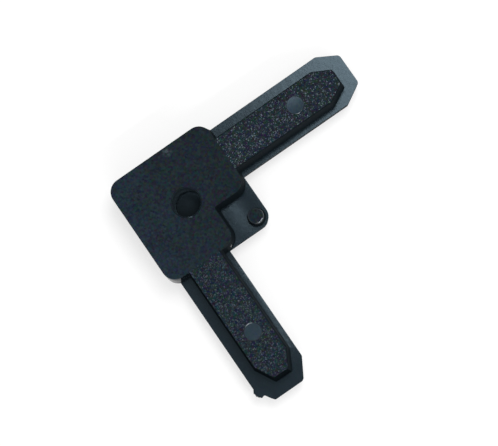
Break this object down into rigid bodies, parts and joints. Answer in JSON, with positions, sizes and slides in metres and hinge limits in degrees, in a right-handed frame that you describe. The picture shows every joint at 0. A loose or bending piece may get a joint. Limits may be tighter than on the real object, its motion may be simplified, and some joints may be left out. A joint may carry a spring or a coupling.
{
  "type": "window corner joint",
  "caption": "Moulded plastic corner joint for a window screen frame: push-in arms at right angles on a square block with a blind hole, and a small peg on its inner corner.",
  "frame": {"origin": "where the middle lines of the two flanges cross, on the flat back", "axes": "+X along the arm with the gate stub, +Y along the other arm, +Z from the back out of the face"},
  "size_m": [0.0558, 0.0558, 0.0087],
  "materials": {
    "black_plastic": "black with a cold cast, satin where smooth and fine-grained on the face and ribs"
  },
  "bodies": {
    "root": {"corner_joint": "black_plastic"}
  },
  "joints": []
}
